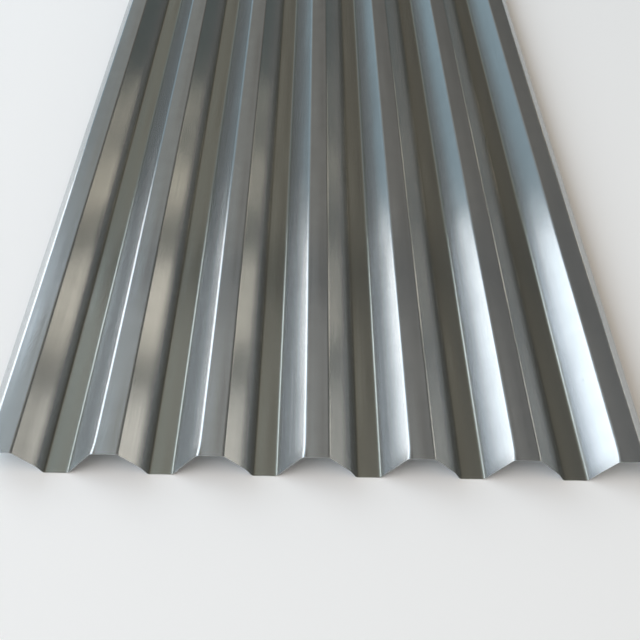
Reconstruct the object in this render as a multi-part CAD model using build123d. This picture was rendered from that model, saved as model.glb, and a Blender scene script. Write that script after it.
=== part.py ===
from build123d import *
import math
import os

# Galvanized roofing sheet: one flat steel strip, roll-formed into trapezoidal ribs.
# Lengths are in millimetres. The ribs run along Y with their crests up, the sheet rests
# with the undersides of its valleys on Z = 0, and the origin is under the middle of the sheet.

# Strip that the sheet is rolled from
sheet_length = 2000.0
sheet_thickness = 0.5

# Rib section, measured on the underside between the sharp corners of the folds
crest_count = 7
rib_pitch = 125.0
crest_width = 29.0
valley_width = 29.0
rib_depth = 35.0

# Radius on the hollow side of every fold
inner_bend_radius = 5.0

# Side edges: beyond each outer crest the strip turns down and is cut off part of the way
# along the slope, so that the next sheet's outer crest can lap over it
left_leg_length = 20.0
right_leg_length = 20.0


def underside_corners():
    """Sharp corners of the section's underside, from the left edge to the right edge."""
    web_run = (rib_pitch - crest_width - valley_width) / 2
    web_angle = math.atan2(rib_depth, web_run)
    outer_crest = rib_pitch * (crest_count - 1) / 2
    outer_fold = outer_crest + crest_width / 2

    corners = [
        (
            -outer_fold - left_leg_length * math.cos(web_angle),
            rib_depth - left_leg_length * math.sin(web_angle),
        )
    ]
    for rib in range(crest_count):
        crest = rib * rib_pitch - outer_crest
        if rib > 0:
            valley = crest - rib_pitch / 2
            corners.append((valley - valley_width / 2, 0))
            corners.append((valley + valley_width / 2, 0))
        corners.append((crest - crest_width / 2, rib_depth))
        corners.append((crest + crest_width / 2, rib_depth))
    corners.append(
        (
            outer_fold + right_leg_length * math.cos(web_angle),
            rib_depth - right_leg_length * math.sin(web_angle),
        )
    )
    return corners


def underside_radii():
    """Bend radius at each fold: the underside is hollow at a crest and full at a valley."""
    crest_folds = [inner_bend_radius] * 2
    valley_folds = [inner_bend_radius + sheet_thickness] * 2
    return crest_folds + (valley_folds + crest_folds) * (crest_count - 1)


def rolled_sheet():
    """The section's underside, thickened upwards and carried along the sheet's length."""
    underside = FilletPolyline(*underside_corners(), radius=underside_radii())
    section = make_face(offset(underside, amount=sheet_thickness, side=Side.LEFT))
    upright_section = Plane.XZ * section
    return extrude(upright_section, amount=sheet_length / 2, both=True)


os.makedirs("parts", exist_ok=True)
roofing_sheet = rolled_sheet()
export_step(roofing_sheet, "parts/roofing_sheet.step")
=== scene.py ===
import math

import bpy
import numpy as np
from mathutils import Matrix, Vector


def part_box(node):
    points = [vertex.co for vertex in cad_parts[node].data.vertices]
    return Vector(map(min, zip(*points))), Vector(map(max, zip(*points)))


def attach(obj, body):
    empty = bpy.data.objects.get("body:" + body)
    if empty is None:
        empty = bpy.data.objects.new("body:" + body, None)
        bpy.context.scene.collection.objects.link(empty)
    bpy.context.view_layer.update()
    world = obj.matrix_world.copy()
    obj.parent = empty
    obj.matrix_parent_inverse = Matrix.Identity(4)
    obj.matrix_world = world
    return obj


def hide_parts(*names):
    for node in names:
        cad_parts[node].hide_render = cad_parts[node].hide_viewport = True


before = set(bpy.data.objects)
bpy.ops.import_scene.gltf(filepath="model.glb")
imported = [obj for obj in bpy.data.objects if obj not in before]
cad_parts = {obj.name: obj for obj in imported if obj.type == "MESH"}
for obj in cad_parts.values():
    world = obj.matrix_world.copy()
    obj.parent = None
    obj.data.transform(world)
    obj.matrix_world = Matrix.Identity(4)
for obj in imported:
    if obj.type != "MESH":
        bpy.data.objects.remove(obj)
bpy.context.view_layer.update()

# Roofing sheet
# One strip of hot-dip galvanized steel, half a millimetre thick, roll-formed into straight
# trapezoidal ribs and cut square at both ends. Nothing fixes it: it lies loose, on its valleys.

sheet_low, sheet_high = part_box("roofing_sheet")
crest_count = 7
rib_pitch = 0.125
crest_width = 0.029
valley_width = 0.029
sheet_thickness = 0.0005
inner_bend_radius = 0.005
rib_depth = sheet_high.z - sheet_low.z - sheet_thickness
web_angle = math.atan2(rib_depth, (rib_pitch - crest_width - valley_width) / 2)
edge_leg_length = 0.020
crease_share = 0.76
crease_height = 0.0018
flare_width = 0.0018
flare_length = 0.028

# Flats and folds are numbered together from the left edge: flats are even, folds odd, eight to a rib.
# The remainder of a number by eight says which flat or fold of its rib it is.
pieces_per_rib = 8
rising_web = 0
fold_above_rising_web = 1
falling_web = 4


def rib_section(flat_shares, fold_shares):
    """Underside of the section, as a line that runs straight along every flat and turns at an even
    rate through every fold. Its heading is a piecewise straight function of the length along it, and
    each point is the running sum of the chords: step times sinc of half the turn, along the mean
    heading. Returns x, z, the heading, the length along the line, the number of the flat or fold that
    each point is in, and its share of the way across that flat or fold."""
    crest_fold = inner_bend_radius
    valley_fold = inner_bend_radius + sheet_thickness
    half_turn = math.tan(web_angle / 2)
    leg = edge_leg_length - crest_fold * half_turn
    crest = crest_width - 2 * crest_fold * half_turn
    valley = valley_width - 2 * valley_fold * half_turn
    web = rib_depth / math.sin(web_angle) - (crest_fold + valley_fold) * half_turn

    ribs_after_first = crest_count - 1
    flats = np.array([leg, crest] + [web, valley, web, crest] * ribs_after_first + [leg])
    headings = web_angle * np.array([1, 0] + [-1, 0, 1, 0] * ribs_after_first + [-1])
    radii = [crest_fold] * 2 + [valley_fold, valley_fold, crest_fold, crest_fold] * ribs_after_first
    lengths = np.empty(flats.size + len(radii))
    lengths[0::2] = flats
    lengths[1::2] = np.array(radii) * web_angle
    breaks = np.concatenate([[0], np.cumsum(lengths)])

    in_flats = breaks[0:-1:2, None] + np.multiply.outer(flats, flat_shares)
    in_folds = breaks[1:-1:2, None] + np.multiply.outer(lengths[1::2], fold_shares)
    along = np.sort(np.concatenate([in_flats.ravel(), in_folds.ravel(), breaks[-1:]]))
    heading = np.interp(along, breaks, np.repeat(headings, 2))
    turn = np.diff(heading)
    chord = np.diff(along) * np.sinc(turn / (2 * math.pi))
    mean_heading = (heading[1:] + heading[:-1]) / 2
    x = np.concatenate([[0], np.cumsum(chord * np.cos(mean_heading))])
    z = np.concatenate([[0], np.cumsum(chord * np.sin(mean_heading))])
    piece = np.clip(np.searchsorted(breaks, along, side="right") - 1, 0, lengths.size - 1)
    share = (along - breaks[piece]) / lengths[piece]
    return x - (x[0] + x[-1]) / 2, z - z.min(), heading, along, piece, share


def rolled_waves(piece, share, y):
    """Height in metres of the gentle waves that rolling leaves in each flat, along its normal. Every
    flat has its own sum of raised sines along the sheet, times the squared sine of the share across
    it, so that the folds stay straight and the valleys stay on the floor."""
    wave_lengths = np.array([0.46, 0.23, 0.14])
    wave_heights = np.array([0.00016, 0.00009, 0.00005])
    wave_seed = 7
    phase_grid = (piece.max() + 1, wave_lengths.size)
    phases = np.random.default_rng(wave_seed).uniform(0, 2 * math.pi, phase_grid)
    angle = 2 * math.pi * y[:, None, None] / wave_lengths + phases[piece]
    across_flat = np.where(piece % 2 == 0, np.sin(math.pi * share) ** 2, 0)
    return (wave_heights * (1 + np.sin(angle))).sum(-1) * across_flat


def web_crease(piece, share):
    """Height in metres, along the normal, of the faint crease that the last rollers leave along every
    web that falls to the right: a straight rise from the crest to the crease, and a straight fall
    beyond it. The last of these webs is the edge leg, which has no crease."""
    rise = np.minimum(share / crease_share, (1 - share) / (1 - crease_share))
    creased = (piece % pieces_per_rib == falling_web) & (piece < piece.max())
    return np.where(creased, crease_height * rise, 0)


def end_flare(piece, share, y):
    """Height in metres, along the normal, of the spring where the shear has cut the ribs open: the
    left side of each crest leans out, by the square of the way from the flare's start to the cut. It
    grows along the web that rises to the crest and fades through the fold above it. The first of
    these webs is the edge leg, which stays straight, with its fold."""
    to_end = np.minimum(y - y.min(), y.max() - y)
    growth = np.clip(1 - to_end / flare_length, 0, 1) ** 2
    in_rib = piece % pieces_per_rib
    down_fold = np.where(in_rib == fold_above_rising_web, 1 - share, 0)
    up_web = np.where(in_rib == rising_web, share, down_fold)
    return flare_width * growth[:, None] * np.where(piece > fold_above_rising_web, up_web, 0)


def closed_shell(upper, lower):
    """Vertices and quads of the sheet: upper and lower are grids of points, one row per station along
    the sheet. Each row is closed into a ring over the top and back underneath, rings are joined to
    their neighbours, and the two ends are closed across the thickness."""
    stations, points = upper.shape[:2]
    ring = 2 * points
    vertices = np.concatenate([upper, lower[:, ::-1]], axis=1).reshape(-1, 3)
    index = np.arange(stations * ring).reshape(stations, ring)
    following = np.roll(index, -1, axis=1)
    sides = np.stack([index[:-1], following[:-1], following[1:], index[1:]], axis=-1).reshape(-1, 4)
    top, under = index[:, :points], index[:, :points - 1:-1]
    caps = np.stack([top[:, :-1], under[:, :-1], under[:, 1:], top[:, 1:]], axis=-1)
    return vertices, np.concatenate([sides, caps[0], caps[-1][:, ::-1]])


# Two close shares beside the crease keep its bend narrow. Those near 0 and 1 keep the folds' shading
# off the flats.
crease_half_share = 0.02
flat_shares = np.array(
    [0, 0.04, 0.25, 0.5, crease_share - crease_half_share, crease_share + crease_half_share, 0.96]
)
fold_steps = 6
fold_shares = np.arange(fold_steps) / fold_steps
section_x, section_z, heading, along, piece, share = rib_section(flat_shares, fold_shares)

even_station_count = 121
even_stations = np.linspace(sheet_low.y, sheet_high.y, even_station_count)
flare_step_shares = np.array([0.2, 0.4])
flare_steps = flare_length * flare_step_shares
station_y = np.sort(
    np.concatenate([even_stations, sheet_low.y + flare_steps, sheet_high.y - flare_steps])
)

normal = np.stack([-np.sin(heading), np.zeros_like(heading), np.cos(heading)], axis=-1)
straight_ribs = np.stack(np.broadcast_arrays(section_x, station_y[:, None], section_z), axis=-1)
relief = (
    rolled_waves(piece, share, station_y)
    + web_crease(piece, share)
    + end_flare(piece, share, station_y)
)
underside = straight_ribs + relief[..., None] * normal
vertices, quads = closed_shell(underside + sheet_thickness * normal, underside)

sheet_mesh = bpy.data.meshes.new("galvanized_sheet")
sheet_mesh.from_pydata(vertices, [], quads)

# The strip as it was before rolling: u runs across the section, round every fold, and v along the sheet.
across_ring = np.concatenate([along, along[::-1]])
strip_u = np.tile(across_ring, station_y.size)
strip_v = np.repeat(station_y, across_ring.size)
strip = sheet_mesh.uv_layers.new(name="strip")
strip.data.foreach_set("uv", np.stack([strip_u, strip_v], axis=-1)[quads.ravel()].ravel())

sharp_edge_degrees = 60
sheet_mesh.polygons.foreach_set("use_smooth", np.ones(len(quads), bool))
sheet_mesh.set_sharp_from_angle(angle=math.radians(sharp_edge_degrees))
galvanized_sheet = bpy.data.objects.new("galvanized_sheet", sheet_mesh)
bpy.context.scene.collection.objects.link(galvanized_sheet)


def linear(hex_code):
    """Linear red, green, blue and alpha of an sRGB colour such as "#9AA3A8", by the sRGB curve."""
    shares = np.array([int(hex_code[i:i + 2], 16) for i in (1, 3, 5)]) / 255
    low_part, high_part = shares / 12.92, ((shares + 0.055) / 1.055) ** 2.4
    return (*np.where(shares <= 0.04045, low_part, high_part).tolist(), 1.0)


def add_node(tree, kind, inputs, **settings):
    """Add a node, with its settings and with a value or a link for each input. An input goes by its
    name, or by its number where a node uses a name twice: a Mix of colours has its factor at 0, its
    two colours at 6 and 7, and its result at output 2."""
    node = tree.nodes.new(kind)
    for name, value in settings.items():
        setattr(node, name, value)
    for name, value in inputs.items():
        if isinstance(value, bpy.types.NodeSocket):
            tree.links.new(value, node.inputs[name])
        else:
            node.inputs[name].default_value = value
    return node


# Skin-passed zinc: a light pass through hard rollers presses the bath's crystals flat, so no spangle
# is left, and the rollers' marks run along the ribs. The eye gets a satin mirror that spreads light
# wide across the ribs and keeps it sharp along them, with faint streaks and a thin pale bloom, which
# is the small share that isn't metallic. The marks are a tenth of a millimetre wide: the streaks are
# drawn twenty times as wide, so that they show.
zinc = bpy.data.materials.new("skin_passed_zinc")
zinc.use_nodes = True
zinc_tree = zinc.node_tree
on_sheet = add_node(zinc_tree, "ShaderNodeTexCoord", {}).outputs["Object"]

streak_width = 0.002
streak_length = 0.35
noise_low = 0.3
noise_high = 0.7
smooth_roughness = 0.195
streak_roughness = 0.225
streak_cells = add_node(
    zinc_tree, "ShaderNodeMapping",
    {"Vector": on_sheet, "Scale": (1 / streak_width, 1 / streak_length, 1 / streak_width)},
)
streaks = add_node(
    zinc_tree, "ShaderNodeTexNoise",
    {"Vector": streak_cells.outputs["Vector"], "Scale": 1.0, "Detail": 2.0},
)
roughness = add_node(
    zinc_tree, "ShaderNodeMapRange",
    {"Value": streaks.outputs["Fac"], "From Min": noise_low, "From Max": noise_high,
     "To Min": smooth_roughness, "To Max": streak_roughness},
)

# Painted shade in the valleys: low in every valley and at the foot of its webs, the zinc is mixed towards
# a dull, darker colour that stands in for the shade there. The eye gets valleys a shade darker than the
# crests, with an uneven edge, on zinc that is a little cloudy.
patch_size = 0.03
valley_shade_reach = 0.006
valley_shade_low_share = 0.6
valley_shade_high_share = 1.4
patches = add_node(
    zinc_tree, "ShaderNodeTexNoise", {"Vector": on_sheet, "Scale": 1 / patch_size, "Detail": 3.0}
)
cloudy_zinc = add_node(
    zinc_tree, "ShaderNodeMix",
    {0: patches.outputs["Fac"], 6: linear("#AEB2B4"), 7: linear("#BABEC0")},
    data_type="RGBA",
)
valley_shade_top = add_node(
    zinc_tree, "ShaderNodeMapRange",
    {"Value": patches.outputs["Fac"], "From Min": noise_low, "From Max": noise_high,
     "To Min": valley_shade_low_share * valley_shade_reach, "To Max": valley_shade_high_share * valley_shade_reach},
)
above_floor = add_node(zinc_tree, "ShaderNodeSeparateXYZ", {"Vector": on_sheet}).outputs["Z"]
# Share of painted valley shade at each point: full at the valley floor, none above the uneven top edge.
painted_valley_shade = add_node(
    zinc_tree, "ShaderNodeMapRange",
    {"Value": above_floor, "From Min": valley_shade_top.outputs["Result"], "From Max": sheet_thickness,
     "To Min": 0.0, "To Max": 1.0},
    interpolation_type="SMOOTHSTEP",
)
# The painted valley shade: the dull darker colour mixed into the zinc low in the valleys.
valley_shaded_zinc = add_node(
    zinc_tree, "ShaderNodeMix",
    {0: painted_valley_shade.outputs["Result"], 6: cloudy_zinc.outputs[2], 7: linear("#A3A59E")},
    data_type="RGBA",
)

# Specks: dust and dross from the bath, a millimetre or two across, about one to every hand's breadth.
# The eye gets a few dark dots with soft edges, as on any sheet straight from the mill.
speck_spacing = 0.11
speck_radius = 0.0008
speck_inner_share = 0.6
speck_outer_share = 1.2
speck_size = speck_radius / speck_spacing
from_speck = add_node(
    zinc_tree, "ShaderNodeTexVoronoi", {"Vector": on_sheet, "Scale": 1 / speck_spacing},
    voronoi_dimensions="2D",
)
specks = add_node(
    zinc_tree, "ShaderNodeMapRange",
    {"Value": from_speck.outputs["Distance"], "From Min": speck_outer_share * speck_size,
     "From Max": speck_inner_share * speck_size, "To Min": 0.0, "To Max": 1.0},
)
specked_zinc = add_node(
    zinc_tree, "ShaderNodeMix",
    {0: specks.outputs["Result"], 6: valley_shaded_zinc.outputs[2], 7: linear("#4A4C4B")},
    data_type="RGBA",
)

across_ribs = add_node(zinc_tree, "ShaderNodeTangent", {}, direction_type="UV_MAP", uv_map="strip")
surface = zinc_tree.nodes["Principled BSDF"]
surface.inputs["Metallic"].default_value = 0.88
surface.inputs["Anisotropic"].default_value = 0.97
zinc_tree.links.new(specked_zinc.outputs[2], surface.inputs["Base Color"])
zinc_tree.links.new(roughness.outputs["Result"], surface.inputs["Roughness"])
zinc_tree.links.new(across_ribs.outputs["Tangent"], surface.inputs["Tangent"])
sheet_mesh.materials.append(zinc)

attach(galvanized_sheet, "root")
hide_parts("roofing_sheet")

# Floor
# A plain pale studio floor of matt paint, level with the undersides of the valleys. It only carries
# the sheet and its shadow.

floor_half = 20.0
floor_corners = floor_half * np.array([(-1, -1, 0), (1, -1, 0), (1, 1, 0), (-1, 1, 0)])
floor_mesh = bpy.data.meshes.new("studio_floor")
floor_mesh.from_pydata(floor_corners, [], [(0, 1, 2, 3)])
studio_floor = bpy.data.objects.new("studio_floor", floor_mesh)
bpy.context.scene.collection.objects.link(studio_floor)

# Matt floor paint: the eye gets one even pale tone. The far floor would fall to grey, so the paint
# glows a little there, but only to the camera and in mirrors and glass.
floor_colour = linear("#F8F8F6")
glow_start = 1.2
glow_full = 6.0
glow_strength = 0.4
floor_paint = bpy.data.materials.new("matt_floor_paint")
floor_paint.use_nodes = True
floor_paint.cycles.emission_sampling = "NONE"
floor_tree = floor_paint.node_tree
on_floor = add_node(floor_tree, "ShaderNodeTexCoord", {}).outputs["Object"]
from_sheet = add_node(floor_tree, "ShaderNodeVectorMath", {0: on_floor}, operation="LENGTH")
far_glow = add_node(
    floor_tree, "ShaderNodeMapRange",
    {"Value": from_sheet.outputs["Value"], "From Min": glow_start, "From Max": glow_full,
     "To Min": 0.0, "To Max": glow_strength},
    interpolation_type="SMOOTHSTEP",
)
ray = add_node(floor_tree, "ShaderNodeLightPath", {})
in_mirrors = add_node(
    floor_tree, "ShaderNodeMath",
    {0: ray.outputs["Is Glossy Ray"], 1: ray.outputs["Is Transmission Ray"]},
    operation="MAXIMUM",
)
seen = add_node(
    floor_tree, "ShaderNodeMath",
    {0: ray.outputs["Is Camera Ray"], 1: in_mirrors.outputs["Value"]},
    operation="MAXIMUM",
)
seen_glow = add_node(
    floor_tree, "ShaderNodeMath",
    {0: far_glow.outputs["Result"], 1: seen.outputs["Value"]},
    operation="MULTIPLY",
)
paint = floor_tree.nodes["Principled BSDF"]
paint.inputs["Base Color"].default_value = floor_colour
paint.inputs["Roughness"].default_value = 0.9
paint.inputs["Emission Color"].default_value = floor_colour
floor_tree.links.new(seen_glow.outputs["Value"], paint.inputs["Emission Strength"])
floor_mesh.materials.append(floor_paint)

# Lamps
# Two cool softboxes stand on the left: the wide one beside the sheet, and the other further back, over
# two long low windows. Five panes of a warm window stand behind on the right, and one warm softbox
# hangs over the front, for the floor. All are plain rectangles of light, and the camera sees none.


def softbox(name, azimuth, elevation, distance, width, height, radiance, colour):
    """A rectangular lamp that faces the middle of the sheet. Azimuth is in degrees from +Y towards +X,
    elevation is above the floor, and the power is radiance times pi times the area."""
    az, el = math.radians(azimuth), math.radians(elevation)
    light = bpy.data.lights.new(name, "AREA")
    light.shape = "RECTANGLE"
    light.size = width
    light.size_y = height
    light.energy = radiance * math.pi * width * height
    light.color = linear(colour)[:3]
    lamp = bpy.data.objects.new(name, light)
    place = (
        distance * math.cos(el) * math.sin(az),
        distance * math.cos(el) * math.cos(az),
        distance * math.sin(el),
    )
    lamp.location = place
    lamp.rotation_euler = Vector(place).to_track_quat("Z", "Y").to_euler()
    lamp.visible_camera = False
    bpy.context.scene.collection.objects.link(lamp)


wall_distance = 9.0
overhead_distance = 4.5
softbox("left_softbox", -104, 27, wall_distance, 13.0, 8.0, 2.45, "#E0EEFF")
softbox("left_back_softbox", -53.5, 28, wall_distance, 5.9, 3.4, 3.2, "#EAF4FF")
softbox("window_left_high", -58, 11, wall_distance, 7.0, 2.1, 1.6, "#FFF8F2")
softbox("window_left_low", -61, 2.5, wall_distance, 7.0, 0.8, 4.2, "#FFF6F0")

# Azimuth, width, radiance and colour of each pane: further to the right they are wider and brighter.
pane_elevation = 14.5
pane_height = 2.0
window_panes = [
    (28.3, 0.41, 0.92, "#FFEFD6"),
    (33.6, 0.57, 1.45, "#FFEFD6"),
    (42.4, 1.07, 1.85, "#FFF2DE"),
    (53.0, 1.38, 2.05, "#FFF5E6"),
    (63.5, 1.55, 2.20, "#FFF5E6"),
]
for number, (azimuth, width, radiance, colour) in enumerate(window_panes, start=1):
    pane = f"window_pane_{number}"
    softbox(pane, azimuth, pane_elevation, wall_distance, width, pane_height, radiance, colour)

softbox("overhead_softbox", 180, 62, overhead_distance, 4.0, 3.0, 0.8, "#FFDDBA")

# Room
# The plain walls and ceiling round the lamps, as tones by direction: dim behind the sheet, lighter on
# the left than on the right, with one dark ceiling beam, and pale in front of the sheet. A direction
# is a unit vector, so that its Z is the sine of its height above the horizon.

room = bpy.data.worlds.new("studio_room")
bpy.context.scene.world = room
room.use_nodes = True
room_tree = room.node_tree
towards = add_node(room_tree, "ShaderNodeTexCoord", {}).outputs["Generated"]
axes = add_node(room_tree, "ShaderNodeSeparateXYZ", {"Vector": towards})
from_left = add_node(
    room_tree, "ShaderNodeMapRange", {"Value": axes.outputs["X"], "From Min": -1.0, "From Max": 1.0}
)

# Tones by the X of the direction, from the left to the right
back_wall = add_node(room_tree, "ShaderNodeValToRGB", {"Fac": from_left.outputs["Result"]})
front_wall = add_node(room_tree, "ShaderNodeValToRGB", {"Fac": from_left.outputs["Result"]})
back_tones = {
    -0.6: "#8C9296", -0.3: "#86949A", -0.15: "#A8A59B", 0.0: "#70685E", 0.15: "#5C554A", 0.3: "#4B4A48",
    0.6: "#3E3E3C",
}
front_tones = {-0.5: "#C8C6C4", -0.2: "#DCDEDF", 0.0: "#9A9C9E", 0.2: "#777674", 0.5: "#A8A6A4"}
for ramp, tones in ((back_wall.color_ramp, back_tones), (front_wall.color_ramp, front_tones)):
    for _ in range(len(tones) - len(ramp.elements)):
        ramp.elements.new(0.5)
    for element, (x, tone) in zip(ramp.elements, tones.items()):
        element.position = (x + 1) / 2
        element.color = linear(tone)

# The back wall grows lighter towards the ceiling, apart from the beam, and it is plain lower down.
beam_z = 0.628
beam_half_width = 0.022
beam_tone_share = 0.35
wall_low_z = 0.42
wall_high_z = 0.8
wall_low_share = 0.76
wall_high_share = 1.24
plain_wall_full_z = 0.15
plain_wall_top_z = 0.38
plain_wall_half_x = 0.3
on_beam = add_node(
    room_tree, "ShaderNodeMath", {0: axes.outputs["Z"], 1: beam_z, 2: beam_half_width}, operation="COMPARE"
)
beam_shade = add_node(
    room_tree, "ShaderNodeMapRange",
    {"Value": on_beam.outputs["Value"], "To Min": 1.0, "To Max": beam_tone_share},
)
towards_ceiling = add_node(
    room_tree, "ShaderNodeMapRange",
    {"Value": axes.outputs["Z"], "From Min": wall_low_z, "From Max": wall_high_z,
     "To Min": wall_low_share, "To Max": wall_high_share},
)
wall_level = add_node(
    room_tree, "ShaderNodeMath",
    {0: towards_ceiling.outputs["Result"], 1: beam_shade.outputs["Result"]},
    operation="MULTIPLY",
)
high_back_wall = add_node(
    room_tree, "ShaderNodeMix",
    {0: 1.0, 6: back_wall.outputs["Color"], 7: wall_level.outputs["Value"]},
    data_type="RGBA", blend_type="MULTIPLY",
)
left_to_right = add_node(
    room_tree, "ShaderNodeMapRange",
    {"Value": axes.outputs["X"], "From Min": -plain_wall_half_x, "From Max": plain_wall_half_x},
)
low_back_wall = add_node(
    room_tree, "ShaderNodeMix",
    {0: left_to_right.outputs["Result"], 6: linear("#8FA9B4"), 7: linear("#4C5654")},
    data_type="RGBA",
)
low_behind = add_node(
    room_tree, "ShaderNodeMapRange",
    {"Value": axes.outputs["Z"], "From Min": plain_wall_top_z, "From Max": plain_wall_full_z,
     "To Min": 0.0, "To Max": 1.0},
    interpolation_type="SMOOTHSTEP",
)
back_room = add_node(
    room_tree, "ShaderNodeMix",
    {0: low_behind.outputs["Result"], 6: high_back_wall.outputs[2], 7: low_back_wall.outputs[2]},
    data_type="RGBA",
)

# The front wall is one pale tone low down, and its own tones show above that.
front_tones_start_z = 0.2
front_tones_full_z = 0.4
front_wall_start_y = 0.1
front_wall_full_y = -0.5
high_in_front = add_node(
    room_tree, "ShaderNodeMapRange",
    {"Value": axes.outputs["Z"], "From Min": front_tones_start_z, "From Max": front_tones_full_z,
     "To Min": 0.0, "To Max": 1.0},
    interpolation_type="SMOOTHSTEP",
)
front_room = add_node(
    room_tree, "ShaderNodeMix",
    {0: high_in_front.outputs["Result"], 6: linear("#C8C6C4"), 7: front_wall.outputs["Color"]},
    data_type="RGBA",
)
to_front = add_node(
    room_tree, "ShaderNodeMapRange",
    {"Value": axes.outputs["Y"], "From Min": front_wall_start_y, "From Max": front_wall_full_y,
     "To Min": 0.0, "To Max": 1.0},
    interpolation_type="SMOOTHSTEP",
)
whole_room = add_node(
    room_tree, "ShaderNodeMix",
    {0: to_front.outputs["Result"], 6: back_room.outputs[2], 7: front_room.outputs[2]},
    data_type="RGBA",
)
room_strength = 1.32
background = room_tree.nodes["Background"]
background.inputs["Strength"].default_value = room_strength
room_tree.links.new(whole_room.outputs[2], background.inputs["Color"])

# Camera
# It looks down along the ribs from in front of the sheet, a little further above the crests than it
# stands in front of the front end, with a normal lens.

image_width = 640
focal_pixels = 999.0
sensor_width = 36.0
camera_x = -0.0159
camera_to_front_end = 0.7677
camera_above_crests = 0.9067
turn_to_right_degrees = 1.067
look_down_degrees = 41.895
roll_to_left_degrees = 1.698
camera_data = bpy.data.cameras.new("photo_camera")
camera_data.sensor_width = sensor_width
camera_data.lens = sensor_width * focal_pixels / image_width
camera = bpy.data.objects.new("photo_camera", camera_data)
camera.matrix_world = (
    Matrix.Translation((camera_x, sheet_low.y - camera_to_front_end, sheet_high.z + camera_above_crests))
    @ Matrix.Rotation(math.radians(-turn_to_right_degrees), 4, "Z")
    @ Matrix.Rotation(math.radians(90 - look_down_degrees), 4, "X")
    @ Matrix.Rotation(math.radians(roll_to_left_degrees), 4, "Z")
)
bpy.context.scene.collection.objects.link(camera)
bpy.context.scene.camera = camera
bpy.context.scene.view_settings.view_transform = "Standard"
